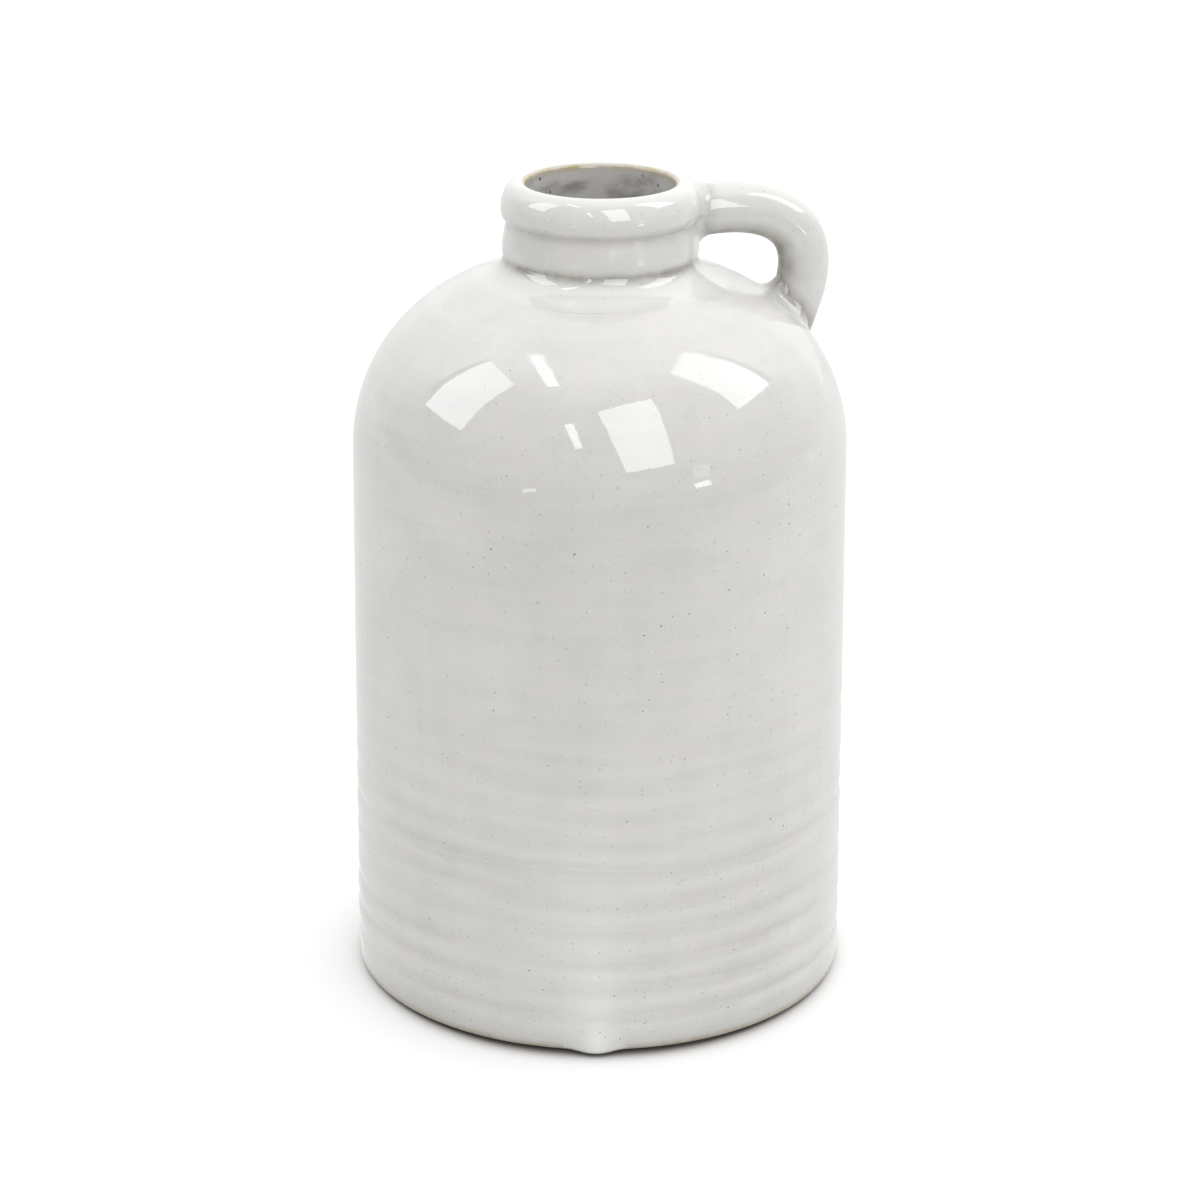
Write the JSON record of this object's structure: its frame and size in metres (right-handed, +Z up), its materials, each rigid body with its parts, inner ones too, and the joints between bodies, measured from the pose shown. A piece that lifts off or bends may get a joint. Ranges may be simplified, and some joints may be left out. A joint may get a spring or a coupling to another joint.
{
  "type": "jug vase",
  "caption": "Stoneware jug vase with a straight thrown body, round shoulder, short collar with a rolled rim and a small ear handle; stands on a foot ring and holds cut or dried stems.",
  "frame": {"origin": "centre of the foot ring, on the surface that the jug stands on", "axes": "+Z up along the pot's axis, +X towards the handle"},
  "size_m": [0.162, 0.162, 0.2645],
  "materials": {
    "speckled_glaze": "gloss, light warm grey with fine dark iron specks, breaking to tan on sharp edges",
    "bare_clay": "unglazed tan stoneware at the foot; the slab's side band is glazed as the wall is"
  },
  "bodies": {
    "root": {"base_slab": "bare_clay", "body_wall": "speckled_glaze", "neck_lute": "speckled_glaze", "neck_collar": "speckled_glaze", "rolled_rim": "speckled_glaze", "handle": "speckled_glaze", "upper_lute": "speckled_glaze", "lower_lute": "speckled_glaze", "glaze_run": "speckled_glaze"}
  },
  "joints": []
}
